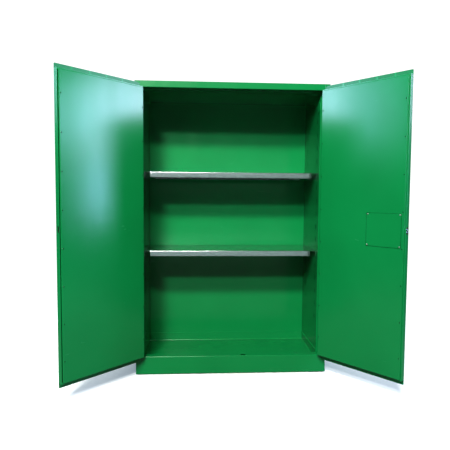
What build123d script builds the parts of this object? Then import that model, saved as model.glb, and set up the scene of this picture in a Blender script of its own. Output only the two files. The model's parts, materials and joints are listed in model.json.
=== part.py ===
"""Two-door safety cabinet for flammable liquids: a double-walled steel box with a sump, two shelves,
piano-hinged doors and a three-point latch in the right door.

The frame: X to the right seen from the front, Y to the back, Z up, millimetres. The origin is on the
floor, at the middle of the outer back face. Doors are modelled closed, then swung open about their pins.
"""
from build123d import *

import os

os.makedirs("parts", exist_ok=True)

# ---- driving dimensions -------------------------------------------------------------------------------
WIDTH = 1090.0
DEPTH = 460.0
HEIGHT = 1650.0
SHEET = 1.2  # steel sheet
BEND = 2.4  # outer bend radius of folded sheet
FLOOR_GAP = 5.0  # the shell stands this far off the floor on its feet

HALF = WIDTH / 2
FRONT = -DEPTH
BACK = 0.0
ROOF = HEIGHT - SHEET  # underside of the top sheet

STILE = 30.0  # width of the front edge of each side panel
OPENING = HALF - STILE  # half width of the door opening
SILL_Z = 105.0
HEADER_Z = 1615.0
REVEAL = 48.0  # depth of the door recess
REVEAL_Y = FRONT + REVEAL

CHAMBER = 501.8  # half width between the inner walls
CHAMBER_BACK = -38.5
CHAMBER_TOP = 1606.0
SUMP_Z = 70.0  # top face of the sump floor
SUMP_RIM = 118.0
BASE_Z = 30.0
LINER_FOOT = 60.0

SLOT_FIRST = 307.0  # height of the lowest shelf slot
SLOT_PITCH = 76.5
SLOT_COUNT = 16
SLOT_WIDE = 22.0
SLOT_TALL = 23.0
SLOT_ROWS = (-350.0, -115.0)  # Y of the two columns of slots in each side wall
SHELF_SLOTS = {"lower": 5, "upper": 11}  # the slot that each shelf hangs from
SHELF_OVER_SLOT = 9.0  # top of a shelf above the middle of its slot
SHELF_HALF = 499.0
SHELF_LIP_HALF = 472.0
SHELF_FRONT = -356.0
SHELF_BACK = -46.0
SHELF_LIP = 32.0

PIN_X = OPENING - 1.4  # hinge pins, just in front of the door recess
PIN_Y = FRONT - 4.0
LEFT_OPEN = 134.0  # how far each door stands open, in degrees
RIGHT_OPEN = 129.0
DOOR_GAP = 1.5  # from each closed door to the middle of the cabinet
DOOR_END = PIN_X - DOOR_GAP  # from the pin to the free edge
DOOR_LOW = 108.0
DOOR_HIGH = 1612.0
LIP = 24.0  # how far the door skin laps over the sill and the header
SKIN_FACE = 2.0  # depths in the door, from the plane of the hinge pins
SKIN_BACK = SKIN_FACE + SHEET
FRAME_BACK = 28.0
PANEL_FACE = 36.0
PANEL_STEP = 6.0  # ledge between the door frame and the raised inner panel

KNUCKLE_R = 3.2
PIN_R = 1.6
HINGE_LEAF = 26.0
KNUCKLES = 30

LATCH_Z = 858.0
HUB_S = 425.0  # distances along the door, from the pin
ROD_S = 445.6
ROD_DEPTH = 21.5
ROD_R = 5.0
BOLT_DEPTH = 20.0


# ---- helpers ------------------------------------------------------------------------------------------
def save(node, label):
    """Names a finished piece and writes it as one STEP file."""
    node.part.label = label
    export_step(node.part, f"parts/{label}.step")


def save_on_door(node, door, label):
    """Swings a piece of a closed door to where the door stands open, then writes it."""
    sign = -1 if door == "left" else 1
    angle = LEFT_OPEN if door == "left" else RIGHT_OPEN
    node.part = node.part.rotate(Axis((sign * PIN_X, PIN_Y, 0), (0, 0, 1)), sign * angle)
    save(node, label)


def to_side(side):
    """Inside a part: leaves a left-hand piece as it is, or turns it into its right-hand mirror image."""
    if side == "right":
        mirror(about=Plane.YZ, mode=Mode.REPLACE)


def folded(*points, inward=Side.LEFT):
    """Inside a sketch: the section of one sheet folded along the points, thickened to one side."""
    with BuildLine() as section:
        FilletPolyline(*points, radius=BEND)
        offset(amount=SHEET, side=inward)
    make_face(section.edges())


def block(low, high, mode=Mode.ADD):
    """Inside a part: a box between two corners."""
    middle = tuple((a + b) / 2 for a, b in zip(low, high))
    with Locations(middle):
        Box(*[b - a for a, b in zip(low, high)], mode=mode)


def door_x(s):
    """X of a point on the closed left door, at a distance along it from the pin."""
    return -PIN_X + s


def door_y(t):
    """Y of a point in a closed door, at a depth behind the plane of the hinge pins."""
    return PIN_Y + t


def door_block(s0, s1, t0, t1, z0, z1, mode=Mode.ADD):
    """Inside a part: a box in the closed left door."""
    block((door_x(s0), door_y(t0), z0), (door_x(s1), door_y(t1), z1), mode)


def door_plane(t):
    """A plane facing out of the closed left door at a depth, with local x along the door and local y up."""
    return Plane(origin=(-PIN_X, door_y(t), 0), x_dir=(1, 0, 0), z_dir=(0, -1, 0))


# ---- outer shell --------------------------------------------------------------------------------------
VENT_Y = -380.0
VENT_Z = {"left": 200.0, "right": 1535.0}
VENT_TUBE_R = 27.0
VENT_BORE_R = 24.0
HOLE_CLEARANCE = 0.3  # round a vent tube, in the walls
STUD_Y = -60.0
STUD_Z = 60.0
STUD_R = 4.0
STUD_SHANK_R = 4.6
TIGHT = 0.05  # round a pin or a screw in its own hole
BACK_FLANGE = 18.0


def side_panel(side):
    """Outer wall, front stile and reveal from one folded sheet, with a vent hole."""
    with BuildPart() as panel:
        with BuildSketch(Plane.XY.offset(FLOOR_GAP)):
            folded(
                (-HALF + BACK_FLANGE, BACK - SHEET),
                (-HALF, BACK - SHEET),
                (-HALF, FRONT),
                (-OPENING, FRONT),
                (-OPENING, REVEAL_Y),
                (-CHAMBER, REVEAL_Y),
            )
        extrude(amount=ROOF - FLOOR_GAP)
        for low, high in ((FLOOR_GAP, SILL_Z), (CHAMBER_TOP, ROOF)):  # room for the ends of the cross rails
            block((-HALF + BEND, REVEAL_Y - BEND, low), (-CHAMBER, REVEAL_Y + SHEET, high), Mode.SUBTRACT)
        with BuildSketch(Plane.YZ.offset(-HALF - 1)):
            with Locations((VENT_Y, VENT_Z[side])):
                Circle(VENT_TUBE_R + HOLE_CLEARANCE)
            if side == "left":
                with Locations((STUD_Y, STUD_Z)):
                    Circle(STUD_SHANK_R + TIGHT)
        extrude(amount=SHEET + 2, mode=Mode.SUBTRACT)
        to_side(side)
    save(panel, f"{side}_side_panel")


def back_panel():
    """Flat outer back, over the back flanges of the side panels."""
    with BuildPart() as panel:
        block((-HALF, BACK - SHEET, FLOOR_GAP), (HALF, BACK, ROOF))
    save(panel, "back_panel")


def top_panel():
    """Top sheet over the whole footprint."""
    with BuildPart() as panel:
        block((-HALF, FRONT, ROOF), (HALF, BACK, HEIGHT))
        fillet(panel.edges().filter_by(Axis.Z), BEND)
    save(panel, "top_panel")


STRIKE_X = PIN_X - ROD_S
STRIKE_Y = door_y(ROD_DEPTH)
STRIKE_SLOT = (30.0, 17.0)


def rail(label, outline, inward, slot_z):
    """A folded cross rail between the stiles, with the slot that a latch rod enters."""
    with BuildPart() as cross_rail:
        with BuildSketch(Plane.YZ.offset(-OPENING)):
            folded(*outline, inward=inward)
        extrude(amount=2 * OPENING)
        with Locations((STRIKE_X, STRIKE_Y, slot_z)):
            Box(*STRIKE_SLOT, 4 * SHEET, mode=Mode.SUBTRACT)
    save(cross_rail, label)


def header_and_sill():
    """The rails above and below the doors; each turns inwards into a ledge and then towards the chamber."""
    rail(
        "header",
        ((FRONT, ROOF), (FRONT, HEADER_Z), (REVEAL_Y, HEADER_Z), (REVEAL_Y, CHAMBER_TOP)),
        Side.LEFT,
        HEADER_Z,
    )
    rail(
        "front_sill",
        ((FRONT, FLOOR_GAP), (FRONT, SILL_Z), (REVEAL_Y, SILL_Z), (REVEAL_Y, SUMP_Z)),
        Side.RIGHT,
        SILL_Z,
    )


FOOT_X = HALF - 70.0
FOOT_Y = 195.0  # from the middle of the depth
MIDDLE_Y = (FRONT + BACK) / 2
FOOT_PLACES = {
    "front_left": (-FOOT_X, MIDDLE_Y - FOOT_Y),
    "front_right": (FOOT_X, MIDDLE_Y - FOOT_Y),
    "rear_left": (-FOOT_X, MIDDLE_Y + FOOT_Y),
    "rear_right": (FOOT_X, MIDDLE_Y + FOOT_Y),
}
FOOT_STEM_R = 5.0
FOOT_PAD_R = 22.0
FOOT_PAD = 9.0


def base_panel():
    """Outer bottom of the double wall, with the holes that the foot stems pass through."""
    with BuildPart() as panel:
        top = BASE_Z + SHEET
        block((-HALF + SHEET, REVEAL_Y + SHEET, BASE_Z), (HALF - SHEET, BACK - SHEET - BEND, top))
        block((-OPENING, FRONT + SHEET, BASE_Z), (OPENING, REVEAL_Y + SHEET, top))
        with Locations(*[(x, y, BASE_Z) for x, y in FOOT_PLACES.values()]):
            Cylinder(FOOT_STEM_R + 1, 4 * SHEET, mode=Mode.SUBTRACT)
    save(panel, "base_panel")


# ---- inner shell --------------------------------------------------------------------------------------
def liner(side):
    """Inner side wall with two columns of shelf slots and the vent hole."""
    with BuildPart() as wall:
        block(
            (-CHAMBER - SHEET, REVEAL_Y + SHEET, LINER_FOOT),
            (-CHAMBER, CHAMBER_BACK + SHEET, CHAMBER_TOP),
        )
        with BuildSketch(Plane.YZ.offset(-CHAMBER - 2 * SHEET)):
            for row in SLOT_ROWS:
                for step in range(SLOT_COUNT):
                    with Locations((row, SLOT_FIRST + step * SLOT_PITCH)):
                        Rectangle(SLOT_WIDE, SLOT_TALL)
            with Locations((VENT_Y, VENT_Z[side])):
                Circle(VENT_TUBE_R + HOLE_CLEARANCE)
        extrude(amount=3 * SHEET, mode=Mode.SUBTRACT)
        to_side(side)
    save(wall, f"{side}_liner")


def back_liner():
    """Inner back wall."""
    with BuildPart() as wall:
        block((-CHAMBER, CHAMBER_BACK, LINER_FOOT), (CHAMBER, CHAMBER_BACK + SHEET, CHAMBER_TOP))
    save(wall, "back_liner")


def ceiling_liner():
    """Inner ceiling, resting on the inner walls and turned up at its front edge."""
    front = REVEAL_Y + SHEET
    with BuildPart() as ceiling:
        with BuildSketch(Plane.YZ.offset(-CHAMBER - SHEET)):
            folded(
                (CHAMBER_BACK + SHEET, CHAMBER_TOP),
                (front, CHAMBER_TOP),
                (front, HEADER_Z),
                inward=Side.RIGHT,
            )
        extrude(amount=2 * (CHAMBER + SHEET))
    save(ceiling, "ceiling_liner")


def sump_tray():
    """Leak-proof tray in the bottom of the chamber; its front wall stops under the sill's ledge."""
    front = REVEAL_Y
    front_rim = SILL_Z - SHEET - 0.3
    bottom = SUMP_Z - SHEET
    with BuildPart() as tray:
        block((-CHAMBER, front + SHEET, bottom), (CHAMBER, CHAMBER_BACK, SUMP_RIM))
        fillet(tray.edges().group_by(Axis.Z)[0], BEND + SHEET)
        fillet(tray.edges().filter_by(Axis.Z), BEND)
        offset(amount=-SHEET, openings=tray.faces().sort_by(Axis.Z)[-1])
        block((-CHAMBER, front, front_rim), (CHAMBER, front + SHEET + BEND, SUMP_RIM + 1), Mode.SUBTRACT)
    save(tray, "sump_tray")


CHANNEL_WEB = 40.0
CHANNEL_LOW = LINER_FOOT + 40.0
CHANNEL_HIGH = CHAMBER_TOP - 40.0
SIDE_CHANNELS = (-290.0, -65.0)  # Y of the front of each
BACK_CHANNELS = (-300.0, 0.0, 300.0)  # X of the middle of each


def wall_channels():
    """Spacer channels that hold the two walls apart at the sides and at the back."""
    outer = HALF - SHEET
    inner = CHAMBER + SHEET
    for side in ("left", "right"):
        with BuildPart() as channels:
            for y in SIDE_CHANNELS:
                with BuildSketch(Plane.XY.offset(CHANNEL_LOW)):
                    folded((-inner, y), (-outer, y), (-outer, y + CHANNEL_WEB), (-inner, y + CHANNEL_WEB),
                           inward=Side.RIGHT)
                extrude(amount=CHANNEL_HIGH - CHANNEL_LOW)
            to_side(side)
        save(channels, f"{side}_wall_channels")
    near, far = CHAMBER_BACK + SHEET, BACK - SHEET
    with BuildPart() as channels:
        for x in BACK_CHANNELS:
            left, right = x - CHANNEL_WEB / 2, x + CHANNEL_WEB / 2
            with BuildSketch(Plane.XY.offset(CHANNEL_LOW)):
                folded((left, near), (left, far), (right, far), (right, near), inward=Side.RIGHT)
            extrude(amount=CHANNEL_HIGH - CHANNEL_LOW)
    save(channels, "back_wall_channels")


# ---- feet ---------------------------------------------------------------------------------------------
STEM_TOP = 58.0
FOOT_HEX_R = 8.0  # spanner flats at the foot of the stem
FOOT_HEX = 6.0
PLATE_HALF = 27.0
PLATE_THICK = 4.0
PLATE_NUT_R = 9.5
PLATE_NUT = 9.0


def feet():
    """Four levelling feet, each a round pad on a threaded stem, and the nut plates that carry them."""
    for place, (x, y) in FOOT_PLACES.items():
        with BuildPart() as foot:
            with BuildSketch(Plane.XY):
                with Locations((x, y)):
                    Circle(FOOT_PAD_R)
            extrude(amount=FOOT_PAD)
            chamfer(foot.edges().group_by(Axis.Z)[-1], 2.5)
            fillet(foot.edges().group_by(Axis.Z)[0], 1)
            with BuildSketch(Plane.XY.offset(FOOT_PAD)):
                with Locations((x, y)):
                    RegularPolygon(FOOT_HEX_R, 6)
            extrude(amount=FOOT_HEX)
            with BuildSketch(Plane.XY.offset(FOOT_PAD + FOOT_HEX)):
                with Locations((x, y)):
                    Circle(FOOT_STEM_R)
            extrude(amount=STEM_TOP - FOOT_PAD - FOOT_HEX)
        save(foot, f"foot_{place}")
    with BuildPart() as plates:
        for x, y in FOOT_PLACES.values():
            block(
                (x - PLATE_HALF, y - PLATE_HALF, BASE_Z - PLATE_THICK),
                (x + PLATE_HALF, y + PLATE_HALF, BASE_Z),
            )
            with BuildSketch(Plane.XY.offset(BASE_Z + SHEET)):
                with Locations((x, y)):
                    RegularPolygon(PLATE_NUT_R, 6)
            extrude(amount=PLATE_NUT)
            with Locations((x, y, BASE_Z)):
                Cylinder(FOOT_STEM_R + TIGHT, 4 * PLATE_NUT, mode=Mode.SUBTRACT)
    save(plates, "foot_nut_plates")


# ---- vents and ground stud ----------------------------------------------------------------------------
VENT_FLANGE_R = 36.0
VENT_FLANGE = 3.0
GUARD_R = 34.0
GUARD_THICK = 3.0
GUARD_HOLE_R = 1.8
GUARD_RINGS = {6: 6, 12: 12, 18: 18}  # radius of each ring of holes, and its number of holes
CAP_R = 30.0
CAP_GRIP = 9.8
CAP_GAP = 0.2  # from the cap to the flange behind it
CAP_PLUG = 14.0
GRIP_NOTCHES = 16
GRIP_NOTCH_R = 2.6
CAP_SLOT = (34.0, 5.0, 3.0)  # coin slot: length, width, depth


def vent_body(name, side, axis):
    """Flanged tube from the outer side wall to the inner one."""
    start = axis.offset(-HALF - VENT_FLANGE)
    length = HALF + VENT_FLANGE - CHAMBER
    with BuildPart() as body:
        with BuildSketch(start):
            Circle(VENT_FLANGE_R)
        extrude(amount=VENT_FLANGE)
        chamfer(body.edges().group_by(Axis.X)[0], 1)
        with BuildSketch(start):
            Circle(VENT_TUBE_R)
        extrude(amount=length)
        with BuildSketch(start):
            Circle(VENT_BORE_R)
        extrude(amount=length, mode=Mode.SUBTRACT)
        to_side(side)
    save(body, f"{name}_body")


def vent_guard(name, side, axis):
    """Perforated disc over the inner end of the tube."""
    start = axis.offset(-CHAMBER)
    with BuildPart() as guard:
        with BuildSketch(start):
            Circle(GUARD_R)
        extrude(amount=GUARD_THICK)
        fillet(guard.edges().group_by(Axis.X)[-1], GUARD_THICK / 2)
        with BuildSketch(start):
            Circle(VENT_BORE_R)
        extrude(amount=GUARD_THICK / 2, mode=Mode.SUBTRACT)
        with BuildSketch(start):
            Circle(GUARD_HOLE_R)
            for radius, holes in GUARD_RINGS.items():
                with PolarLocations(radius, holes):
                    Circle(GUARD_HOLE_R)
        extrude(amount=GUARD_THICK + 1, mode=Mode.SUBTRACT)
        to_side(side)
    save(guard, f"{name}_guard")


def vent_cap(name, side, axis):
    """Screw-in cap with a notched grip and a coin slot, just clear of the flange."""
    behind = HALF + VENT_FLANGE + CAP_GAP
    start = axis.offset(-behind - CAP_GRIP)
    with BuildPart() as cap:
        with BuildSketch(start):
            Circle(CAP_R)
        extrude(amount=CAP_GRIP)
        fillet(cap.edges().group_by(Axis.X)[0], 2.5)
        with BuildSketch(axis.offset(-behind)):
            Circle(VENT_BORE_R - 2 * CAP_GAP)
        extrude(amount=CAP_PLUG)
        with BuildSketch(start):
            with PolarLocations(CAP_R + 1.5, GRIP_NOTCHES):
                Circle(GRIP_NOTCH_R)
        extrude(amount=CAP_GRIP, mode=Mode.SUBTRACT)
        with BuildSketch(start):
            Rectangle(*CAP_SLOT[:2])
        extrude(amount=CAP_SLOT[2], mode=Mode.SUBTRACT)
        to_side(side)
    save(cap, f"{name}_cap")


def vents():
    """A flame-arresting vent through each double side wall, low on the left and high on the right."""
    for side, name in (("left", "lower_vent"), ("right", "upper_vent")):
        axis = Plane(origin=(0, VENT_Y, VENT_Z[side]), x_dir=(0, 1, 0), z_dir=(1, 0, 0))
        vent_body(name, side, axis)
        vent_guard(name, side, axis)
        vent_cap(name, side, axis)


STUD_TIP = 26.0
STUD_HEAD_R = 7.2
STUD_HEAD = 5.0
WASHER_R = 8.5
WASHER = 1.6
NUT_R = 7.4
NUT_FACE = 8.1  # outer face of the nut, from the side panel


def ground_stud():
    """Grounding screw through the left side panel, with its outer nut."""
    axis = Plane(origin=(0, STUD_Y, STUD_Z), x_dir=(0, 1, 0), z_dir=(1, 0, 0))
    with BuildPart() as stud:
        with BuildSketch(axis.offset(-HALF - STUD_TIP)):
            Circle(STUD_R)
        extrude(amount=STUD_TIP)
        chamfer(stud.edges().group_by(Axis.X)[0], 0.8)
        with BuildSketch(axis.offset(-HALF - NUT_FACE)):
            Circle(STUD_SHANK_R)
        extrude(amount=NUT_FACE + SHEET)
        with BuildSketch(axis.offset(-HALF + SHEET)):
            RegularPolygon(STUD_HEAD_R, 6)
        extrude(amount=STUD_HEAD)
    save(stud, "ground_stud")
    with BuildPart() as nut:
        with BuildSketch(axis.offset(-HALF - WASHER)):
            Circle(WASHER_R)
        extrude(amount=WASHER)
        with BuildSketch(axis.offset(-HALF - NUT_FACE)):
            RegularPolygon(NUT_R, 6)
        extrude(amount=NUT_FACE - WASHER)
        with BuildSketch(axis.offset(-HALF - NUT_FACE - 1)):
            Circle(STUD_SHANK_R + TIGHT)
        extrude(amount=NUT_FACE + 2, mode=Mode.SUBTRACT)
    save(nut, "ground_nut")


# ---- shelves ------------------------------------------------------------------------------------------
SHELF_HEM = 14.0
HOOK_WIDE = 24.0
HOOK_LEG = 30.0
LEDGE = 22.0
TONGUE_HALF = 2.0
TONGUE_LOW = 7.0  # the tongue's lower and upper edges, from the bottom of the slot
TONGUE_HIGH = 19.0
TONGUE_DROP = 4.0  # how far it reaches down behind the wall


def shelf(name):
    """A galvanised shelf: a flat top with a turned-under lip at the front and the back."""
    top = SLOT_FIRST + SHELF_SLOTS[name] * SLOT_PITCH + SHELF_OVER_SLOT
    with BuildPart() as tray:
        with BuildSketch(Plane.YZ.offset(-SHELF_LIP_HALF)):
            folded(
                (SHELF_FRONT + SHELF_HEM, top - SHELF_LIP),
                (SHELF_FRONT, top - SHELF_LIP),
                (SHELF_FRONT, top),
                (SHELF_BACK, top),
                (SHELF_BACK, top - SHELF_LIP),
                (SHELF_BACK - SHELF_HEM, top - SHELF_LIP),
                inward=Side.RIGHT,
            )
        extrude(amount=2 * SHELF_LIP_HALF)
        for x0, x1 in ((-SHELF_HALF, -SHELF_LIP_HALF), (SHELF_LIP_HALF, SHELF_HALF)):
            block((x0, SHELF_FRONT + BEND, top - SHEET), (x1, SHELF_BACK - BEND, top))
    save(tray, f"{name}_shelf")
    shelf_hooks(name, top - SHEET)


def shelf_hooks(name, ledge_top):
    """Four clips per shelf: a leg on the wall, a ledge under the shelf and a hook through a slot."""
    slot_low = ledge_top + SHEET - SHELF_OVER_SLOT - SLOT_TALL / 2
    leg_x = CHAMBER - SHEET
    hook_x = CHAMBER + SHEET + 0.2
    hook_end = hook_x + SHEET
    with BuildPart() as hooks:
        for y in SLOT_ROWS:
            y0, y1 = y - HOOK_WIDE / 2, y + HOOK_WIDE / 2
            block((leg_x, y0, ledge_top - HOOK_LEG), (CHAMBER, y1, ledge_top))
            block((CHAMBER - LEDGE, y0, ledge_top - SHEET), (leg_x, y1, ledge_top))
            y0, y1 = y - TONGUE_HALF, y + TONGUE_HALF
            block((leg_x, y0, slot_low + TONGUE_LOW), (hook_end, y1, slot_low + TONGUE_HIGH))
            block((hook_x, y0, slot_low - TONGUE_DROP), (hook_end, y1, slot_low + TONGUE_HIGH))
        mirror(about=Plane.YZ)
    save(hooks, f"{name}_shelf_hooks")


# ---- hinges -------------------------------------------------------------------------------------------
HINGE_LOW = 115.0
HINGE_HIGH = 1605.0
LEAF_NEAR = 0.2  # a leaf's two faces, from the pin
LEAF_FAR = 1.4
KNUCKLE_GAP = 0.5


def knuckle_spans(first):
    """The heights of every second knuckle of a hinge, starting with the given one."""
    pitch = (HINGE_HIGH - HINGE_LOW) / KNUCKLES
    starts = [HINGE_LOW + i * pitch for i in range(first, KNUCKLES, 2)]
    return [(start, start + pitch - KNUCKLE_GAP) for start in starts]


def hinge_leaf(side, first, s0, s1):
    """One leaf of a piano hinge: a long strip and the knuckles rolled on its edge."""
    clear = KNUCKLE_R + 0.4
    with BuildPart() as leaf:
        door_block(s0, s1, clear, HINGE_LEAF, HINGE_LOW, HINGE_HIGH)
        for low, high in knuckle_spans(first):
            with BuildSketch(Plane.XY.offset(low)):
                with Locations((-PIN_X, PIN_Y)):
                    Circle(KNUCKLE_R)
                with Locations((door_x((s0 + s1) / 2), door_y(clear / 2))):
                    Rectangle(s1 - s0, clear)
                with Locations((-PIN_X, PIN_Y)):
                    Circle(PIN_R + TIGHT, mode=Mode.SUBTRACT)
            extrude(amount=high - low)
        to_side(side)
    return leaf


def hinges():
    """The piano hinge of each door: a leaf on the reveal, a leaf on the door and the pin."""
    for side in ("left", "right"):
        save(hinge_leaf(side, 0, -LEAF_FAR, -LEAF_NEAR), f"{side}_hinge_body_leaf")
        save_on_door(hinge_leaf(side, 1, LEAF_NEAR, LEAF_FAR), side, f"{side}_hinge_door_leaf")
        with BuildPart() as pin:
            with BuildSketch(Plane.XY.offset(HINGE_LOW)):
                with Locations((-PIN_X, PIN_Y)):
                    Circle(PIN_R)
            extrude(amount=HINGE_HIGH - HINGE_LOW)
            to_side(side)
        save(pin, f"{side}_hinge_pin")


# ---- doors --------------------------------------------------------------------------------------------
FRAME_START = LEAF_FAR  # the door frame begins behind the hinge leaf
SKIN_START = 3.8
HINGE_CORNER = 20.0  # radius of the skin's corners by the hinge
FREE_CORNER = 5.0
FRAME_RETURN = 16.0
STRIKE_HALF = (6.0, 15.0)  # half thickness and half height of the left door's strike hole
BOLT_HALF = (5.0, 10.0)  # the same of the latch bolt
BOLT_ROOM = 0.2
HUB_HOLE_R = 8.0
PANEL_CORNER = 5.0
RIVET_R = 4.0
RIVET_RISE = 1.4
RIVET_INSET = 8.0
RIVET_FIRST = 222.0
RIVET_PITCH = 182.0
RIVET_ROWS = 8
TAB_FIRST = 120.0
TAB_PITCH = 100.0
TAB_COUNT = 4
TAB_HALF = 3.0
TAB_THICK = 0.5
COVER_LOW = (300.0, 770.0)  # corners of the lock cover plate: along the door, height
COVER_HIGH = (491.0, 942.0)
COVER_SCREW_INSET = 7.0
COVER_SCREW_R = 4.0
COVER_SCREW_RISE = 2.0
COVER_LAP = 15.0  # of the cover plate over the edge of its opening


def door_skin(side):
    """Outer face of the door, lapping over the sill and the header, with rounded corners."""
    middle = ((SKIN_START + DOOR_END) / 2, (DOOR_LOW + DOOR_HIGH) / 2)
    with BuildPart() as skin:
        with BuildSketch(door_plane(SKIN_BACK)) as face:
            with Locations(middle):
                Rectangle(DOOR_END - SKIN_START, DOOR_HIGH - DOOR_LOW + 2 * LIP)
            fillet(face.vertices().group_by(Axis.X)[0], HINGE_CORNER)
            fillet(face.vertices().group_by(Axis.X)[-1], FREE_CORNER)
            if side == "right":
                with Locations((HUB_S, LATCH_Z)):
                    Circle(HUB_HOLE_R, mode=Mode.SUBTRACT)
        extrude(amount=SHEET)
        to_side(side)
    save_on_door(skin, side, f"{side}_door_skin")


def edge_hole(half_thick, half_tall):
    """Inside a door frame: the hole in its free edge for the latch bolt."""
    door_block(DOOR_END - FRAME_RETURN / 2, DOOR_END + 1, BOLT_DEPTH - half_thick, BOLT_DEPTH + half_thick,
               LATCH_Z - half_tall, LATCH_Z + half_tall, Mode.SUBTRACT)


def door_frame(side):
    """The box section behind the skin: four edge walls turned in behind the inner panel."""
    wall = SHEET
    with BuildPart() as frame:
        door_block(FRAME_START, DOOR_END, SKIN_BACK, FRAME_BACK, DOOR_LOW, DOOR_HIGH)
        upright = frame.edges().filter_by(Axis.Z)
        fillet(upright.group_by(Axis.Y)[-1], BEND)
        door_block(FRAME_START + wall, DOOR_END - wall, SKIN_BACK, FRAME_BACK - wall,
                   DOOR_LOW + wall, DOOR_HIGH - wall, Mode.SUBTRACT)
        door_block(FRAME_START + FRAME_RETURN, DOOR_END - FRAME_RETURN, SKIN_BACK, FRAME_BACK,
                   DOOR_LOW + FRAME_RETURN, DOOR_HIGH - FRAME_RETURN, Mode.SUBTRACT)
        if side == "left":
            edge_hole(*STRIKE_HALF)
        else:
            edge_hole(*(half + BOLT_ROOM for half in BOLT_HALF))
            for height in (DOOR_LOW, DOOR_HIGH):
                with Locations((door_x(ROD_S), door_y(ROD_DEPTH), height)):
                    Cylinder(ROD_R + 0.5, 4 * wall, mode=Mode.SUBTRACT)
        to_side(side)
    save_on_door(frame, side, f"{side}_door_frame")


def inner_panel(side):
    """The raised inner face of the door, a shallow pan on the frame."""
    s0, s1 = FRAME_START + PANEL_STEP, DOOR_END - PANEL_STEP
    z0, z1 = DOOR_LOW + PANEL_STEP, DOOR_HIGH - PANEL_STEP
    with BuildPart() as panel:
        door_block(s0, s1, FRAME_BACK, PANEL_FACE, z0, z1)
        fillet(panel.edges().filter_by(Axis.Y), PANEL_CORNER)
        fillet(panel.edges().group_by(Axis.Y)[-1], BEND)
        offset(amount=-SHEET, openings=panel.faces().sort_by(Axis.Y)[0])
        if side == "right":
            door_block(COVER_LOW[0] + COVER_LAP, COVER_HIGH[0] - COVER_LAP, FRAME_BACK, PANEL_FACE + 1,
                       COVER_LOW[1] + COVER_LAP, COVER_HIGH[1] - COVER_LAP, Mode.SUBTRACT)
        to_side(side)
    save_on_door(panel, side, f"{side}_door_inner_panel")


def domes(places, plane, radius, rise):
    """Inside a part: low round heads standing on a plane."""
    with BuildSketch(plane) as heads:
        with Locations(*places):
            Circle(radius)
    extrude(heads.sketch, amount=-rise)


def rivets(side):
    """Rivet heads down both edges of the inner panel, and weld tabs across the top lip of the skin."""
    columns = (FRAME_START + PANEL_STEP + RIVET_INSET, DOOR_END - PANEL_STEP - RIVET_INSET)
    heights = [RIVET_FIRST + i * RIVET_PITCH for i in range(RIVET_ROWS)]
    with BuildPart() as heads:
        domes([(s, z) for s in columns for z in heights], door_plane(PANEL_FACE), RIVET_R, RIVET_RISE)
        chamfer(heads.edges().group_by(Axis.Y)[-1], 0.9)
        for i in range(TAB_COUNT):
            s = TAB_FIRST + i * TAB_PITCH
            door_block(s - TAB_HALF, s + TAB_HALF, SKIN_BACK, SKIN_BACK + TAB_THICK,
                       DOOR_HIGH + 1, DOOR_HIGH + LIP - 1)
        to_side(side)
    save_on_door(heads, side, f"{side}_door_rivets")


STRIKE_BOX_LENGTH = 24.8
STRIKE_BOX_WALL = (1.0, 2.0)  # across its thickness, and above and below


def strike_box():
    """Black box inside the left door's edge that receives the latch bolt."""
    half_thick = STRIKE_HALF[0] + STRIKE_BOX_WALL[0] / 2
    half_tall = STRIKE_HALF[1] + STRIKE_BOX_WALL[1]
    start, end = DOOR_END - SHEET - STRIKE_BOX_LENGTH, DOOR_END - SHEET
    with BuildPart() as box:
        door_block(start, end, BOLT_DEPTH - half_thick, BOLT_DEPTH + half_thick,
                   LATCH_Z - half_tall, LATCH_Z + half_tall)
        half_thick -= STRIKE_BOX_WALL[0]
        half_tall -= STRIKE_BOX_WALL[1]
        door_block(start + STRIKE_BOX_WALL[1], end + SHEET, BOLT_DEPTH - half_thick, BOLT_DEPTH + half_thick,
                   LATCH_Z - half_tall, LATCH_Z + half_tall, Mode.SUBTRACT)
    save_on_door(box, "left", "left_door_strike_box")


# ---- latch in the right door --------------------------------------------------------------------------
def lock_cover():
    """Cover plate over the latch opening in the inner panel, and its four screws."""
    width, tall = (high - low for low, high in zip(COVER_LOW, COVER_HIGH))
    middle = tuple((low + high) / 2 for low, high in zip(COVER_LOW, COVER_HIGH))
    with BuildPart() as plate:
        with BuildSketch(door_plane(PANEL_FACE)):
            with Locations(middle):
                RectangleRounded(width, tall, PANEL_CORNER)
        extrude(amount=-SHEET)
        to_side("right")
    save_on_door(plate, "right", "lock_cover_plate")
    half_w, half_t = width / 2 - COVER_SCREW_INSET, tall / 2 - COVER_SCREW_INSET
    with BuildPart() as screws:
        corners = [(middle[0] + i * half_w, middle[1] + j * half_t) for i in (-1, 1) for j in (-1, 1)]
        domes(corners, door_plane(PANEL_FACE + SHEET), COVER_SCREW_R, COVER_SCREW_RISE)
        fillet(screws.edges().group_by(Axis.Y)[-1], COVER_SCREW_RISE / 2)
        to_side("right")
    save_on_door(screws, "right", "lock_cover_screws")


CASE_HALF = 45.0
CASE_LOW = LATCH_Z - 68.0
CASE_HIGH = LATCH_Z + 68.0
CASE_BACK = 30.0
CASE_WALL = 1.5
BAR_HALF = 7.0  # half height of the latch bolt's flat bar


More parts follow.
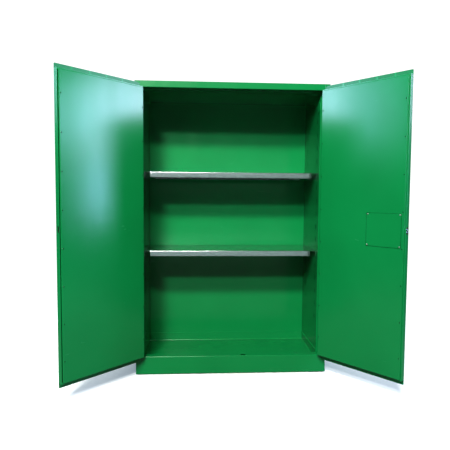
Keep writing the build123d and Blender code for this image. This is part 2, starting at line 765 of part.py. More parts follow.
def latch_case():
    """Steel channel behind the skin that guides the latch bolt and the ends of the rods."""
    with BuildPart() as case:
        door_block(HUB_S - CASE_HALF, HUB_S + CASE_HALF, SKIN_BACK, CASE_BACK, CASE_LOW, CASE_HIGH)
        door_block(HUB_S - CASE_HALF + CASE_WALL, HUB_S + CASE_HALF - CASE_WALL, SKIN_BACK + CASE_WALL,
                   CASE_BACK + 1, CASE_LOW - 1, CASE_HIGH + 1, Mode.SUBTRACT)
        door_block(HUB_S + CASE_HALF / 2, HUB_S + CASE_HALF + 1, BOLT_DEPTH - BOLT_HALF[0] - 1,
                   BOLT_DEPTH + 1, LATCH_Z - BAR_HALF - 1, LATCH_Z + BAR_HALF + 1, Mode.SUBTRACT)
        with BuildSketch(door_plane(SKIN_BACK + CASE_WALL + 1)):
            with Locations((HUB_S, LATCH_Z)):
                Circle(HUB_HOLE_R)
        extrude(amount=CASE_WALL + 2, mode=Mode.SUBTRACT)
        to_side("right")
    save_on_door(case, "right", "latch_case")


BOLT_REST = DOOR_END + 2.0  # tip of the latch bolt, drawn back
BOLT_BAR = 4.0  # thickness of its flat bar
FACE_PLATE = (38.0, 17.0, 1.0)  # height, width, thickness
FACE_PLATE_SHIFT = 1.5  # of its middle from the bolt's


def latch_bolt():
    """Latch bolt in the free edge: a rounded block on a flat bar, and its face plate."""
    half_thick, half_tall = BOLT_HALF
    near, far = BOLT_DEPTH - half_thick, BOLT_DEPTH + half_thick
    block_start = HUB_S + CASE_HALF + 8
    with BuildPart() as bolt:
        door_block(block_start, BOLT_REST, near, far, LATCH_Z - half_tall, LATCH_Z + half_tall)
        fillet(bolt.edges().group_by(Axis.X)[-1].filter_by(Axis.Z), 3.5)
        door_block(HUB_S + 16, block_start, near, near + BOLT_BAR, LATCH_Z - BAR_HALF, LATCH_Z + BAR_HALF)
        to_side("right")
    save_on_door(bolt, "right", "latch_bolt")
    tall, wide, thick = FACE_PLATE
    edge = Plane(origin=(door_x(DOOR_END), door_y(BOLT_DEPTH - FACE_PLATE_SHIFT), LATCH_Z), x_dir=(0, 1, 0),
                 z_dir=(1, 0, 0))
    with BuildPart() as plate:
        with BuildSketch(edge):
            SlotOverall(tall, wide, rotation=90)
            with Locations((FACE_PLATE_SHIFT, 0)):
                Rectangle(*(2 * (half + BOLT_ROOM) for half in BOLT_HALF), mode=Mode.SUBTRACT)
        extrude(amount=thick)
        to_side("right")
    save_on_door(plate, "right", "latch_face_plate")


ROD_TOP = DOOR_HIGH - 2.0
ROD_BOTTOM = DOOR_LOW + 2.0
ROD_INNER = 26.0  # from the hub's height to the inner end of each rod
GUIDE_HEIGHTS = (190.0, 520.0, 1200.0, 1530.0)
GUIDE_HALF = (16.0, 10.0)  # half width and half height
GUIDE_BACK = 9.0  # from the rod's axis


def rods():
    """The two latch rods in the right door, and the guides that they slide in."""
    spans = {"top_rod": (LATCH_Z + ROD_INNER, ROD_TOP), "bottom_rod": (ROD_BOTTOM, LATCH_Z - ROD_INNER)}
    for name, (low, high) in spans.items():
        with BuildPart() as rod:
            with BuildSketch(Plane.XY.offset(low)):
                with Locations((door_x(ROD_S), door_y(ROD_DEPTH))):
                    Circle(ROD_R)
            extrude(amount=high - low)
            ends = rod.edges().group_by(Axis.Z)
            chamfer(ends[-1] if name == "top_rod" else ends[0], 2)
            to_side("right")
        save_on_door(rod, "right", name)
    with BuildPart() as guides:
        for height in GUIDE_HEIGHTS:
            door_block(ROD_S - GUIDE_HALF[0], ROD_S + GUIDE_HALF[0], SKIN_BACK, ROD_DEPTH + GUIDE_BACK,
                       height - GUIDE_HALF[1], height + GUIDE_HALF[1])
            with Locations((door_x(ROD_S), door_y(ROD_DEPTH), height)):
                Cylinder(ROD_R + 0.1, 3 * GUIDE_HALF[1], mode=Mode.SUBTRACT)
        to_side("right")
    save_on_door(guides, "right", "rod_guides")


LEVER_REACH = 118.0  # from the hub's middle to just short of the tip
LEVER_WIDE = 22.0
LEVER_THICK = 13.0
LEVER_OUT = -26.0  # depth of the lever's outer face
LEVER_START = 0.3  # depth of the hub's inner face
HUB_R = 17.0
HANDLE_PLATE = (150.0, 50.0)
HANDLE_PLATE_FACE = 0.4
HANDLE_PLATE_HOLE_R = 9.0
SPINDLE_R = 5.5
CAM = (52.0, 20.0, 4.0)  # length, width, thickness
PLUG_R = 9.0
PLUG_BORE_R = 9.2
PLUG_DEPTH = 15.8
PLUG_PROUD = 1.0
PLUG_GAP = 0.2  # behind the plug
KEYWAY = (1.6, 9.0)


def hub_disc(depth, radius, amount, mode=Mode.ADD):
    """Inside a part: a disc on the handle's axis, from a depth outwards."""
    with BuildSketch(door_plane(depth)) as disc:
        with Locations((HUB_S, LATCH_Z)):
            Circle(radius)
    extrude(disc.sketch, amount=amount, mode=mode)


def handle_plate():
    """Escutcheon under the lever."""
    with BuildPart() as plate:
        with BuildSketch(door_plane(SKIN_FACE)):
            with Locations((HUB_S, LATCH_Z)):
                SlotOverall(*HANDLE_PLATE, rotation=90)
                Circle(HANDLE_PLATE_HOLE_R, mode=Mode.SUBTRACT)
        extrude(amount=SKIN_FACE - HANDLE_PLATE_FACE)
        fillet(plate.edges().group_by(Axis.Y)[0], 0.8)
        to_side("right")
    save_on_door(plate, "right", "handle_plate")


def handle_lever():
    """Turning lever, lying level, with the bore that holds the key plug."""
    with BuildPart() as lever:
        hub_disc(LEVER_START, HUB_R, LEVER_START - LEVER_OUT)
        with BuildSketch(door_plane(LEVER_OUT + LEVER_THICK)):
            with Locations((HUB_S - LEVER_REACH / 2 + 8, LATCH_Z)):
                SlotOverall(LEVER_REACH + 16, LEVER_WIDE)
        extrude(amount=LEVER_THICK)
        fillet(lever.edges().group_by(Axis.Y)[0], 3)
        bore = PLUG_DEPTH + PLUG_GAP
        hub_disc(LEVER_OUT + bore, PLUG_BORE_R, bore + 4, Mode.SUBTRACT)
        to_side("right")
    save_on_door(lever, "right", "handle_lever")


def handle_spindle():
    """Spindle from the lever through the skin, with the cam that draws the bolt and the rods."""
    start = CASE_BACK + 2
    with BuildPart() as spindle:
        hub_disc(start, SPINDLE_R, start - LEVER_START)
        with BuildSketch(door_plane(start)):
            with Locations((HUB_S, LATCH_Z)):
                SlotOverall(*CAM[:2], rotation=90)
        extrude(amount=CAM[2])
        to_side("right")
    save_on_door(spindle, "right", "handle_spindle")


def key_plug():
    """Lock plug in the middle of the lever, with its keyway."""
    with BuildPart() as plug:
        hub_disc(LEVER_OUT + PLUG_DEPTH, PLUG_R, PLUG_DEPTH + PLUG_PROUD)
        with BuildSketch(door_plane(LEVER_OUT + 3)):
            with Locations((HUB_S, LATCH_Z)):
                Rectangle(*KEYWAY)
        extrude(amount=8, mode=Mode.SUBTRACT)
        to_side("right")
    save_on_door(plug, "right", "key_plug")


# ---- build --------------------------------------------------------------------------------------------
for hand in ("left", "right"):
    side_panel(hand)
    liner(hand)
    door_skin(hand)
    door_frame(hand)
    inner_panel(hand)
    rivets(hand)
back_panel()
top_panel()
header_and_sill()
base_panel()
back_liner()
ceiling_liner()
sump_tray()
wall_channels()
feet()
vents()
ground_stud()
for level in SHELF_SLOTS:
    shelf(level)
hinges()
strike_box()
lock_cover()
latch_case()
latch_bolt()
rods()
handle_plate()
handle_lever()
handle_spindle()
key_plug()
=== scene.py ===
"""Studio picture of a two-door safety cabinet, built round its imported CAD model.

In order: camera, materials, the small fittings that CAD leaves out, floor, backdrop and lights.
"""

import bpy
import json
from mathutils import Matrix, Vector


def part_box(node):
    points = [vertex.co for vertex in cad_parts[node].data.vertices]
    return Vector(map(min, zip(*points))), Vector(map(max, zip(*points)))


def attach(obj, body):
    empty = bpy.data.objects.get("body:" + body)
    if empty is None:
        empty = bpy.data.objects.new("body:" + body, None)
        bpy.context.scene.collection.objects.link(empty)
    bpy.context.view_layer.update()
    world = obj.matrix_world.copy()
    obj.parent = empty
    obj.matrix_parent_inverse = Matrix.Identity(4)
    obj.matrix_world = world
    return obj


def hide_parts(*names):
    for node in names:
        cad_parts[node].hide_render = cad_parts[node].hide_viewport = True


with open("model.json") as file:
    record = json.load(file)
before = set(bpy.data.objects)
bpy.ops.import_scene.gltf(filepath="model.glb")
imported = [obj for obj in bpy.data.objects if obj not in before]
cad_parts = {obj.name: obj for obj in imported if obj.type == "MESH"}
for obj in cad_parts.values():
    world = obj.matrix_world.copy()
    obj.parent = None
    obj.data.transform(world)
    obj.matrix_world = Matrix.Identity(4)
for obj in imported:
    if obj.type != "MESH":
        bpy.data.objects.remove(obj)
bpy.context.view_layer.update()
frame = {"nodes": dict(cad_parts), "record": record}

import json
import math

import bmesh
import bpy
from mathutils import Matrix, Vector

nodes = frame["nodes"]
scene = bpy.context.scene


# ---- camera -------------------------------------------------------------------------------------------
def rolled_axes(yaw, pitch, roll):
    """Right, up and forward directions of a camera that first looks along +Y."""
    forward = Vector((math.sin(yaw) * math.cos(pitch), math.cos(yaw) * math.cos(pitch), math.sin(pitch)))
    level = Vector((math.cos(yaw), -math.sin(yaw), 0.0))
    upright = level.cross(forward)
    right = math.cos(roll) * level + math.sin(roll) * upright
    up = math.cos(roll) * upright - math.sin(roll) * level
    return right, up, forward


def add_camera(place, yaw, pitch, roll, lens):
    data = bpy.data.cameras.new("camera")
    data.lens = lens
    data.sensor_width = 36.0
    camera = bpy.data.objects.new("camera", data)
    right, up, forward = rolled_axes(yaw, pitch, roll)
    turn = Matrix((right, up, -forward)).transposed().to_4x4()
    camera.matrix_world = Matrix.Translation(place) @ turn
    scene.collection.objects.link(camera)
    scene.camera = camera


add_camera(Vector((-0.2016, -3.1101, 1.0304)), yaw=0.0598, pitch=-0.065, roll=0.007, lens=37.74)


# ---- shader helpers -----------------------------------------------------------------------------------
def new_material(name):
    """A new material with one Principled shader; returns the material, its node tree and the shader."""
    material = bpy.data.materials.new(name)
    material.use_nodes = True
    tree = material.node_tree
    return material, tree, tree.nodes["Principled BSDF"]


def add_node(tree, kind, **settings):
    node = tree.nodes.new(kind)
    for key, value in settings.items():
        setattr(node, key, value)
    return node


def place_texture(tree, kind, scale, stretch=(1, 1, 1), **inputs):
    """A texture node fed by the object's own coordinates, in metres."""
    coordinates = add_node(tree, "ShaderNodeTexCoord")
    mapping = add_node(tree, "ShaderNodeMapping")
    mapping.inputs["Scale"].default_value = stretch
    texture = add_node(tree, kind)
    texture.inputs["Scale"].default_value = scale
    for key, value in inputs.items():
        texture.inputs[key.replace("_", " ")].default_value = value
    tree.links.new(coordinates.outputs["Object"], mapping.inputs["Vector"])
    tree.links.new(mapping.outputs["Vector"], texture.inputs["Vector"])
    return texture


def ramp(tree, source, stops):
    """A colour ramp over a factor; each stop is a position and a colour or a grey level."""
    node = add_node(tree, "ShaderNodeValToRGB")
    elements = node.color_ramp.elements
    while len(elements) < len(stops):
        elements.new(1.0)
    for element, (position, colour) in zip(elements, stops):
        element.position = position
        element.color = (*colour, 1) if hasattr(colour, "__len__") else (colour, colour, colour, 1)
    tree.links.new(source, node.inputs["Fac"])
    return node.outputs["Color"]


def add_bump(tree, shader, height, strength, distance):
    """Feeds a height into the shader's normal, over any bump that is there already."""
    bump = add_node(tree, "ShaderNodeBump")
    bump.inputs["Strength"].default_value = strength
    bump.inputs["Distance"].default_value = distance
    tree.links.new(height, bump.inputs["Height"])
    if shader.inputs["Normal"].is_linked:
        tree.links.new(shader.inputs["Normal"].links[0].from_socket, bump.inputs["Normal"])
    tree.links.new(bump.outputs["Normal"], shader.inputs["Normal"])


# ---- materials ----------------------------------------------------------------------------------------
def powder_coat(name, depth, roughness):
    """Semi-gloss green powder coat with fine orange peel and a few faint rub marks.

    The tone and the gloss drift slowly over the surface. A higher depth gives a brighter green.
    """
    material, tree, shader = new_material(name)
    drift = place_texture(tree, "ShaderNodeTexNoise", 2.5, Detail=3.0)
    dull = tuple(depth * part for part in (0.0034, 0.170, 0.048))
    fresh = tuple(depth * part for part in (0.0040, 0.192, 0.055))
    tone = ramp(tree, drift.outputs["Fac"], [(0.3, dull), (0.7, fresh)])
    rubs = place_texture(tree, "ShaderNodeTexNoise", 11.0, stretch=(1, 1, 4), Detail=6.0, Distortion=1.5)
    mark = ramp(tree, rubs.outputs["Fac"], [(0.70, 0.0), (0.78, 0.35)])
    mixed = add_node(tree, "ShaderNodeMix", data_type="RGBA")
    tree.links.new(mark, mixed.inputs["Factor"])
    tree.links.new(tone, mixed.inputs["A"])
    mixed.inputs["B"].default_value = (0.06, 0.30, 0.16, 1)
    tree.links.new(mixed.outputs["Result"], shader.inputs["Base Color"])
    smears = place_texture(tree, "ShaderNodeTexNoise", 9.0, stretch=(1, 1, 0.4), Detail=5.0)
    gloss = ramp(tree, smears.outputs["Fac"], [(0.3, roughness), (0.7, roughness + 0.05)])
    tree.links.new(gloss, shader.inputs["Roughness"])
    peel = place_texture(tree, "ShaderNodeTexNoise", 420.0, Detail=2.0)
    add_bump(tree, shader, peel.outputs["Fac"], 0.12, 0.0004)
    return material


def galvanised():
    """Galvanised sheet with spangle: crystals that differ a little in tone and gloss."""
    material, tree, shader = new_material("galvanised_steel")
    shader.inputs["Metallic"].default_value = 1.0
    crystals = place_texture(tree, "ShaderNodeTexVoronoi", 90.0)
    tone = ramp(tree, crystals.outputs["Color"], [(0.2, (0.50, 0.53, 0.57)), (0.8, (0.60, 0.63, 0.67))])
    tree.links.new(tone, shader.inputs["Base Color"])
    gloss = ramp(tree, crystals.outputs["Color"], [(0.2, 0.19), (0.8, 0.24)])
    tree.links.new(gloss, shader.inputs["Roughness"])
    waves = place_texture(tree, "ShaderNodeTexNoise", 25.0, Detail=3.0)
    add_bump(tree, shader, waves.outputs["Fac"], 0.1, 0.0008)
    return material


def zinc_plate():
    """Bright zinc plating, slightly mottled."""
    material, tree, shader = new_material("zinc_plated_steel")
    shader.inputs["Metallic"].default_value = 1.0
    mottle = place_texture(tree, "ShaderNodeTexNoise", 60.0, Detail=4.0)
    tone = ramp(tree, mottle.outputs["Fac"], [(0.3, (0.46, 0.46, 0.43)), (0.7, (0.60, 0.60, 0.58))])
    tree.links.new(tone, shader.inputs["Base Color"])
    gloss = ramp(tree, mottle.outputs["Fac"], [(0.3, 0.30), (0.7, 0.42)])
    tree.links.new(gloss, shader.inputs["Roughness"])
    return material


def chrome():
    """Polished chrome with hairline scratches."""
    material, tree, shader = new_material("chrome")
    shader.inputs["Metallic"].default_value = 1.0
    shader.inputs["Base Color"].default_value = (0.78, 0.79, 0.80, 1)
    hairs = place_texture(tree, "ShaderNodeTexNoise", 500.0, stretch=(1, 1, 0.05), Detail=3.0)
    gloss = ramp(tree, hairs.outputs["Fac"], [(0.3, 0.06), (0.7, 0.18)])
    tree.links.new(gloss, shader.inputs["Roughness"])
    return material


def black_plastic():
    """Fine-textured black nylon."""
    material, tree, shader = new_material("black_plastic")
    grain = place_texture(tree, "ShaderNodeTexNoise", 900.0, Detail=2.0)
    tone = ramp(tree, grain.outputs["Fac"], [(0.3, 0.012), (0.7, 0.024)])
    tree.links.new(tone, shader.inputs["Base Color"])
    shader.inputs["Roughness"].default_value = 0.5
    add_bump(tree, shader, grain.outputs["Fac"], 0.25, 0.0004)
    return material


def painted_shade():
    """Near-black painted shade, put on small parts that stand for the unlit inside of a hole or gap."""
    material, tree, shader = new_material("painted_shade")
    # The painted shade's tone varies a little at random.
    shade_mottle = place_texture(tree, "ShaderNodeTexNoise", 300.0, Detail=2.0)
    tone = ramp(tree, shade_mottle.outputs["Fac"], [(0.3, (0.001, 0.004, 0.002)), (0.7, (0.003, 0.010, 0.005))])
    tree.links.new(tone, shader.inputs["Base Color"])
    shader.inputs["Roughness"].default_value = 0.9
    shader.inputs["Specular IOR Level"].default_value = 0.0
    return material


slot_materials = {
    "green_powder_coat": powder_coat("green_powder_coat", depth=1.0, roughness=0.18),
    "galvanised_steel": galvanised(),
    "zinc_plated_steel": zinc_plate(),
    "chrome": chrome(),
    "black_plastic": black_plastic(),
}

# Finishes that differ from the slot's. The side channels are zinc-plated steel, but they are seen only
# through the shelf slots, so they are drawn in near-black painted shade that stands for the dark space
# between the walls.
# The door skins get a rougher copy of the paint that is also darker: painted shade for the darker look
# of their lips.
shaded_outer_paint = powder_coat("shaded_outer_powder_coat", depth=0.85, roughness=0.32)
# The rivets and lip tabs get a brighter copy of the paint: a painted highlight that makes them stand out
# from the panel.
highlight_paint = powder_coat("painted_highlight_powder_coat", depth=1.4, roughness=0.20)
# Near-black painted shade for the side channels and for the small gaps and rivet holes drawn further on.
shade_paint = painted_shade()
special_materials = {
    "left_door_rivets": highlight_paint,
    "right_door_rivets": highlight_paint,
    "left_door_skin": shaded_outer_paint,
    "right_door_skin": shaded_outer_paint,
    "left_wall_channels": shade_paint,
    "right_wall_channels": shade_paint,
}


def finish_nodes():
    """Gives every CAD node its own finish, or else the material of its slot in the record."""
    for part in frame["record"]["subparts"]:
        name = part["node"]
        piece = nodes[name]
        piece.data.materials.clear()
        piece.data.materials.append(special_materials.get(name, slot_materials[part["material_slot"]]))


finish_nodes()


# ---- fittings -----------------------------------------------------------------------------------------
MM = 0.001
UP = Vector((0, 0, 1))
RIGHT = Vector((1, 0, 0))
TO_FRONT = Vector((0, -1, 0))
TO_BACK = Vector((0, 1, 0))
SIDES = (("left", -1), ("right", 1))  # with the sign of X out of the cabinet



def middle_of(node):
    low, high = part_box(node)
    return (low + high) / 2


def lumps(node):
    """The separate lumps of a CAD node, each as a list of its corners."""
    shape = bmesh.new()
    shape.from_mesh(nodes[node].data)
    bmesh.ops.remove_doubles(shape, verts=shape.verts, dist=1e-6)
    found, seen = [], set()
    for start in shape.verts:
        if start in seen:
            continue
        seen.add(start)
        lump, waiting = [], [start]
        while waiting:
            corner = waiting.pop()
            lump.append(corner.co.copy())
            others = {edge.other_vert(corner) for edge in corner.link_edges} - seen
            seen |= others
            waiting.extend(others)
        found.append(lump)
    shape.free()
    return found


def inward(side):
    """The direction out of a door's inner face."""
    face = max(nodes[f"{side}_door_inner_panel"].data.polygons, key=lambda polygon: polygon.area)
    away = middle_of(f"{side}_door_inner_panel") - middle_of(f"{side}_door_skin")
    return face.normal.copy() if face.normal.dot(away) > 0 else -face.normal


def seat(foot, axis):
    """The turn and shift that carry Z onto an axis through a foot point."""
    return Matrix.Translation(foot) @ axis.to_track_quat("Z", "Y").to_matrix().to_4x4()


def top_of(lump, axis):
    """The middle of a lump's far end along an axis."""
    centre = sum(lump, Vector()) / len(lump)
    return centre + axis * max((corner - centre).dot(axis) for corner in lump)


def join(shape, low, high):
    """Faces between two closed loops of as many corners."""
    for i in range(len(low)):
        j = (i + 1) % len(low)
        shape.faces.new((low[i], low[j], high[j], high[i]))


def rings(shape, place, profile, sides=24):
    """Turned rings, joined in order; the profile lists radius and height in mm."""
    loops = []
    for radius, height in profile:
        angles = [2 * math.pi * i / sides for i in range(sides)]
        points = [Vector((radius * math.cos(a), radius * math.sin(a), height)) * MM for a in angles]
        loops.append([shape.verts.new(place @ point) for point in points])
    for low, high in zip(loops, loops[1:]):
        join(shape, low, high)
    return loops


def lathe(shape, place, profile, sides=24):
    """A turned solid, closed at both ends."""
    loops = rings(shape, place, profile, sides)
    shape.faces.new(loops[0][::-1])
    shape.faces.new(loops[-1])


def cross_screw(shape, place, radius, rise, depth):
    """A screw head with a cross recess; the lengths are in mm."""
    dome = [(radius, -0.1), (radius, 0.4 * rise), (0.88 * radius, 0.8 * rise), (0.66 * radius, rise)]
    loops = rings(shape, place, dome)
    arm, half = 0.5 * radius, 0.14 * radius
    between = (arm + half) / 2
    quarter = [(arm, 0), (arm, half), (between, half), (half, half), (half, between), (half, arm)]
    turns = [Matrix.Rotation(math.pi / 2 * turn, 2) for turn in range(4)]
    outline = [turn @ Vector(point) for turn in turns for point in quarter]
    recess = []
    for scale, height in ((1.0, rise), (0.7, rise - depth)):
        points = [Vector((point.x * scale, point.y * scale, height)) * MM for point in outline]
        recess.append([shape.verts.new(place @ point) for point in points])
    join(shape, loops[-1], recess[0])
    join(shape, recess[0], recess[1])
    shape.faces.new(recess[1])
    shape.faces.new(loops[0][::-1])


def sweep(shape, path, across, profile, closed):
    """A bar along a path; the profile is in mm along the two directions given for each of its points."""
    loops = []
    for point, (side, up) in zip(path, across):
        loops.append([shape.verts.new(point + (u * side + v * up) * MM) for u, v in profile])
    for low, high in zip(loops, loops[1:]):
        join(shape, low, high)
    if closed:
        join(shape, loops[-1], loops[0])
    else:
        shape.faces.new(loops[0][::-1])
        shape.faces.new(loops[-1])


def add_piece(name, shape, slot_name, body, material=None):
    """Makes a piece of the shape that rides on a CAD body, in a slot's finish or one of its own."""
    bmesh.ops.recalc_face_normals(shape, faces=shape.faces)
    mesh = bpy.data.meshes.new(name)
    shape.to_mesh(mesh)
    shape.free()
    mesh.shade_smooth()
    mesh.set_sharp_from_angle(angle=math.radians(35))
    mesh.materials.append(material or slot_materials[slot_name])
    piece = bpy.data.objects.new(name, mesh)
    scene.collection.objects.link(piece)
    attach(piece, body)
    return piece


RIVET_TALL = 10.0  # the door's rivet node also holds lip tabs, which are taller than any rivet
RIVET_STEM = [(3.0, -0.1), (2.9, 0.25), (1.9, 0.35), (1.7, 0.05)]


def rivet_stems(side):
    """The stem end in the middle of each pop rivet down a door's inner panel, drawn in near-black
    painted shade for the dark of its hole.
    """
    shape = bmesh.new()
    out = inward(side)
    for lump in lumps(f"{side}_door_rivets"):
        tall = max(corner.z for corner in lump) - min(corner.z for corner in lump)
        if tall < RIVET_TALL * MM:
            lathe(shape, seat(top_of(lump, out), out), RIVET_STEM)
    add_piece(f"{side}_door_rivet_stems", shape, "green_powder_coat", f"{side}_door", shade_paint)


COVER_SCREW_RISE = 2.0
COVER_CORNER = 5.0  # radius of the joint line's corners
COVER_CORNER_STEPS = 6
COVER_SHADOW_GAP = [(0.2, -0.6), (0.2, 0.1), (-0.2, 0.3), (-0.8, 0.1), (-0.8, -0.6)]


def lock_cover_screws():
    """Cross-head screws in the lock cover's corners."""
    out = inward("right")
    shape = bmesh.new()
    for lump in lumps("lock_cover_screws"):
        foot = top_of(lump, out) - COVER_SCREW_RISE * MM * out
        cross_screw(shape, seat(foot, out), 4.0, COVER_SCREW_RISE, 1.2)
    piece = add_piece("lock_cover_cross_screws", shape, "zinc_plated_steel", "right_door")
    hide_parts("lock_cover_screws")


def lock_cover_shadow_gap():
    """A thin strip of near-black painted shade round the edge of the lock cover plate, for the shadow in
    the gap there.
    """
    out = inward("right")
    along = out.cross(UP)
    low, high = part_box("lock_cover_plate")
    face = max(corner.dot(out) for corner in lumps("lock_cover_plate")[0])
    centre = middle_of("lock_cover_plate")
    centre += out * (face - centre.dot(out))
    half_width = math.hypot(high.x - low.x, high.y - low.y) / 2 - 0.4 * MM
    half_height = (high.z - low.z) / 2 - 0.3 * MM
    radius = COVER_CORNER * MM
    path, across = [], []
    for turn in range(4):
        middle_angle = math.pi / 2 * (turn + 0.5)
        bend_x = math.copysign(half_width - radius, math.cos(middle_angle))
        bend_z = math.copysign(half_height - radius, math.sin(middle_angle))
        for step in range(COVER_CORNER_STEPS + 1):
            angle = math.pi / 2 * (turn + step / COVER_CORNER_STEPS)
            direction = math.cos(angle) * along + math.sin(angle) * UP
            path.append(centre + bend_x * along + bend_z * UP + radius * direction)
            across.append((direction, out))
    shape = bmesh.new()
    sweep(shape, path, across, COVER_SHADOW_GAP, closed=True)
    add_piece("lock_cover_shadow_gap", shape, "green_powder_coat", "right_door", shade_paint)


THREAD_PITCH = 1.25


def ground_stud_thread():
    """Rings that stand for the thread of the grounding stud outside its nut."""
    low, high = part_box("ground_stud")
    foot = Vector((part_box("ground_nut")[0].x, (low.y + high.y) / 2, (low.z + high.z) / 2))
    length = (foot.x - low.x) / MM - 1
    profile = [(3.8, 0)]
    for turn in range(int(length / THREAD_PITCH)):
        start = THREAD_PITCH * turn
        profile += [(3.9, start + 0.1), (4.25, start + 0.65), (3.9, start + 1.2)]
    shape = bmesh.new()
    lathe(shape, seat(foot, Vector((-1, 0, 0))), profile)
    add_piece("ground_stud_thread", shape, "zinc_plated_steel", "cabinet")


WIRE_R = 0.35
WIRE_PITCH = 3.0
SCREEN_R = 22.5
SCREEN_GAP = 6.0  # from the middle of the perforated guard, outwards


def flame_screens():
    """Wire discs in the throats of the two vents, of two crossed layers of straight wires."""
    count = int(SCREEN_R / WIRE_PITCH)
    for level in ("lower", "upper"):
        out = RIGHT * math.copysign(1, middle_of(f"{level}_vent_body").x)
        centre = middle_of(f"{level}_vent_guard") + out * SCREEN_GAP * MM
        layers = ((-WIRE_R, TO_BACK, UP), (WIRE_R, UP, TO_BACK))
        shape = bmesh.new()
        for i in range(-count, count + 1):
            offset = i * WIRE_PITCH
            half = math.sqrt(SCREEN_R ** 2 - offset ** 2)
            for lie, along, aside in layers:
                foot = centre + (out * lie + aside * offset - along * half) * MM
                lathe(shape, seat(foot, along), [(WIRE_R, 0), (WIRE_R, 2 * half)], sides=6)
        add_piece(f"{level}_vent_flame_screen", shape, "zinc_plated_steel", "cabinet")


def sump_sealant():
    """A fillet of sealant where the sump tray's rim meets the back and side walls."""
    low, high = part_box("sump_tray")
    front_end = low.y + 10 * MM
    corners = ((low.x, front_end), (low.x, high.y), (high.x, high.y), (high.x, front_end))
    path = [Vector((x, y, high.z)) for x, y in corners]
    across = [(aside, UP) for aside in (RIGHT, RIGHT + TO_FRONT, -RIGHT + TO_FRONT, -RIGHT)]
    shape = bmesh.new()
    sweep(shape, path, across, [(0, 0), (2.6, 0), (0, 2.6)], closed=False)
    add_piece("sump_sealant", shape, "green_powder_coat", "cabinet")


SPOT_COUNT = 21
SPOT_WELD = [(3.6, -0.1), (3.2, 0.14), (2.4, 0.16), (1.9, 0.03)]


def spot_welds():
    """Painted-over spot weld marks in two columns down each side panel."""
    shape = bmesh.new()
    for side, sign in SIDES:
        low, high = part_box(f"{side}_side_panel")
        face = high.x if sign > 0 else low.x
        for y in (low.y + 14 * MM, high.y - 12 * MM):
            for i in range(SPOT_COUNT):
                z = low.z + 50 * MM + (high.z - low.z - 100 * MM) * i / (SPOT_COUNT - 1)
                lathe(shape, seat(Vector((face, y, z)), sign * RIGHT), SPOT_WELD)
    add_piece("side_spot_welds", shape, "green_powder_coat", "cabinet")


HINGE_SCREW_COUNT = 11


def hinge_screws():
    """Flat cross-head screws along each hinge's body leaf."""
    shape = bmesh.new()
    for side, sign in SIDES:
        low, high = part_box(f"{side}_hinge_body_leaf")
        face = middle_of(f"{side}_hinge_pin").x + sign * 0.2 * MM
        for i in range(HINGE_SCREW_COUNT):
            z = low.z + 45 * MM + (high.z - low.z - 90 * MM) * i / (HINGE_SCREW_COUNT - 1)
            place = seat(Vector((face, high.y - 11 * MM, z)), -sign * RIGHT)
            cross_screw(shape, place, 3.6, 0.15, 0.14)
    add_piece("hinge_screws", shape, "zinc_plated_steel", "cabinet")


SEAM = [(-0.9, -0.05), (0.9, -0.05), (0.5, 0.25), (-0.5, 0.25)]


def seam_welds():
    """Thin dressed welds where the sill and the header meet the side panels' front flanges."""
    shape = bmesh.new()
    for node in ("front_sill", "header"):
        low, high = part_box(node)
        for x in (low.x, high.x):
            path = [Vector((x, low.y, z)) for z in (low.z + MM, high.z - MM)]
            sweep(shape, path, [(RIGHT, TO_FRONT)] * 2, SEAM, closed=False)
    add_piece("seam_welds", shape, "green_powder_coat", "cabinet")


PANEL_SHADOW_GAP = [(-0.1, -0.05), (3.0, -0.05), (2.4, 0.5), (-0.1, 1.2)]


def panel_shadow_gap(side):
    """A strip of near-black painted shade along the foot of the inner panel, on the door frame's ledge
    at the free edge, for the shadow in the gap there.
    """
    out = inward(side)
    along = out.cross(UP)
    if along.dot(middle_of(f"{side}_door_frame") - middle_of(f"{side}_hinge_pin")) < 0:
        along = -along
    ledge = max(corner.co.dot(out) for corner in nodes[f"{side}_door_frame"].data.vertices)
    edge = max(corner.co.dot(along) for corner in nodes[f"{side}_door_inner_panel"].data.vertices)
    low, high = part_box(f"{side}_door_inner_panel")
    foot = along * edge + out * ledge
    path = [foot + UP * (low.z + 6 * MM), foot + UP * (high.z - 6 * MM)]
    shape = bmesh.new()
    sweep(shape, path, [(along, out)] * 2, PANEL_SHADOW_GAP, closed=False)
    add_piece(f"{side}_door_panel_joint", shape, "green_powder_coat", f"{side}_door", shade_paint)


for side in ("left", "right"):
    rivet_stems(side)
panel_shadow_gap("left")
lock_cover_screws()
lock_cover_shadow_gap()
ground_stud_thread()
flame_screens()
sump_sealant()
spot_welds()
hinge_screws()
seam_welds()


# ---- floor and light ----------------------------------------------------------------------------------
FLOOR_TONE_IN_REFLECTIONS = 0.18
FLOOR_DROP = 0.0005  # below the feet


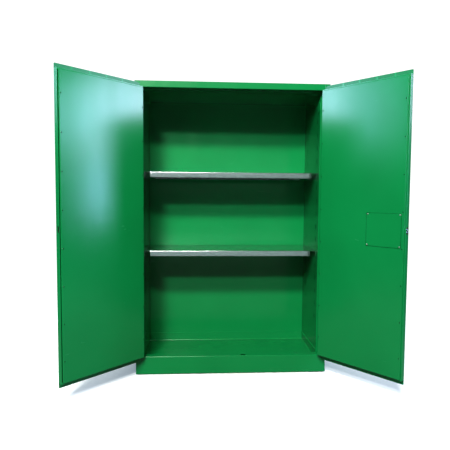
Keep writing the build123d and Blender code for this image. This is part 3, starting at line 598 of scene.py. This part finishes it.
def floor_material(opaque, clear):
    """Pale matte floor that thins out to nothing further off, to meet the white backdrop softly.

    It is pale to the camera and darker in reflections, so that it doesn't wash out the doors.
    """
    material, tree, shader = new_material("studio_floor")
    grain = place_texture(tree, "ShaderNodeTexNoise", 40.0, Detail=3.0)
    tone = ramp(tree, grain.outputs["Fac"], [(0.3, 0.90), (0.7, 0.94)])
    path = add_node(tree, "ShaderNodeLightPath")
    seen = add_node(tree, "ShaderNodeMapRange")
    seen.inputs["To Min"].default_value = FLOOR_TONE_IN_REFLECTIONS
    tree.links.new(path.outputs["Is Camera Ray"], seen.inputs["Value"])
    tree.links.new(tone, seen.inputs["To Max"])
    tree.links.new(seen.outputs["Result"], shader.inputs["Base Color"])
    shader.inputs["Roughness"].default_value = 1.0
    shader.inputs["Specular IOR Level"].default_value = 0.0
    coordinates = add_node(tree, "ShaderNodeTexCoord")
    length = add_node(tree, "ShaderNodeVectorMath", operation="LENGTH")
    tree.links.new(coordinates.outputs["Object"], length.inputs[0])
    fade = add_node(tree, "ShaderNodeMapRange", interpolation_type="SMOOTHSTEP")
    for name, value in (("From Min", opaque), ("From Max", clear), ("To Min", 1.0), ("To Max", 0.0)):
        fade.inputs[name].default_value = value
    tree.links.new(length.outputs["Value"], fade.inputs["Value"])
    tree.links.new(fade.outputs["Result"], shader.inputs["Alpha"])
    return material


def add_floor(opaque, clear):
    """A round floor under the cabinet; the two radii are where it starts to thin and where it ends."""
    mesh = bpy.data.meshes.new("studio_floor")
    shape = bmesh.new()
    bmesh.ops.create_circle(shape, cap_ends=True, segments=96, radius=clear)
    shape.to_mesh(mesh)
    shape.free()
    mesh.materials.append(floor_material(opaque, clear))
    floor = bpy.data.objects.new("studio_floor", mesh)
    floor.location = (0.0, -0.4, -FLOOR_DROP)
    scene.collection.objects.link(floor)


def add_light(name, place, aim, size, power, colour=(1, 1, 1)):
    """A rectangular soft light that faces a point; its power is in watts."""
    data = bpy.data.lights.new(name, "AREA")
    data.shape = "RECTANGLE"
    data.size, data.size_y = size
    data.energy = power
    data.color = colour
    light = bpy.data.objects.new(name, data)
    light.location = place
    light.rotation_euler = (Vector(aim) - Vector(place)).to_track_quat("-Z", "Y").to_euler()
    scene.collection.objects.link(light)


def add_window(name, side, span, heights, radiance, colour):
    """An upright panel of cool light at one side, over a span of depth and a span of height."""
    size = (span[1] - span[0], heights[1] - heights[0])
    place = Vector((4.5 * side, sum(span) / 2, sum(heights) / 2))
    aim = place - Vector((side, 0, 0))
    add_light(name, place, aim, size, radiance * math.pi * size[0] * size[1], colour)


def add_world(seen, lit):
    """White backdrop: what the camera sees of it is brighter than the fill light that it gives."""
    world = bpy.data.worlds.new("studio")
    scene.world = world
    world.use_nodes = True
    tree = world.node_tree
    background = tree.nodes["Background"]
    background.inputs["Color"].default_value = (1, 1, 1, 1)
    path = add_node(tree, "ShaderNodeLightPath")
    strength = add_node(tree, "ShaderNodeMapRange")
    strength.inputs["To Min"].default_value = lit
    strength.inputs["To Max"].default_value = seen
    tree.links.new(path.outputs["Is Camera Ray"], strength.inputs["Value"])
    tree.links.new(strength.outputs["Result"], background.inputs["Strength"])


PALE_DAYLIGHT = (0.66, 0.72, 1.0)
CLEAR_DAYLIGHT = (0.52, 0.70, 1.0)
BLUE_DAYLIGHT = (0.38, 0.66, 1.0)
STRIP_DAYLIGHT = (0.70, 1.0, 0.86)
WARM_WHITE = (1.0, 0.98, 0.90)

add_world(seen=1.0, lit=0.03)
add_floor(opaque=1.2, clear=3.5)
middle = (0.0, -0.3, 0.9)
add_light("key_near", (-0.9, -4.2, 4.1), middle, (1.8, 0.4), 320.0, WARM_WHITE)
add_light("key_far", (-2.1, -8.8, 5.5), middle, (1.2, 0.6), 500.0)
add_window("right_window", 1, (-0.87, -0.3), (1.87, 2.9), 21.0, PALE_DAYLIGHT)
add_window("right_window_middle", 1, (-1.7, -0.87), (1.55, 2.9), 20.0, CLEAR_DAYLIGHT)
add_window("right_window_edge", 1, (-2.3, -1.7), (1.85, 2.7), 11.0, BLUE_DAYLIGHT)
add_window("right_window_low", 1, (-1.65, -1.2), (0.6, 1.55), 26.0, BLUE_DAYLIGHT)
add_window("left_window", -1, (-1.0, -0.2), (1.88, 3.1), 21.0, CLEAR_DAYLIGHT)
add_window("left_window_edge", -1, (-1.9, -1.0), (1.8, 3.1), 6.0, BLUE_DAYLIGHT)
for name, height in (("lip_strip_high", 1.58), ("lip_strip_low", 0.1)):
    add_light(name, (0.4, -6.0, height), (0.4, 0.0, height), (3.6, 0.22), 5.0, STRIP_DAYLIGHT)
add_light("back_fill", (0.0, 4.5, 3.2), (0.0, 0.0, 0.9), (3.0, 2.0), 250.0)

scene.view_settings.view_transform = "Standard"
scene.view_settings.look = "Medium High Contrast"
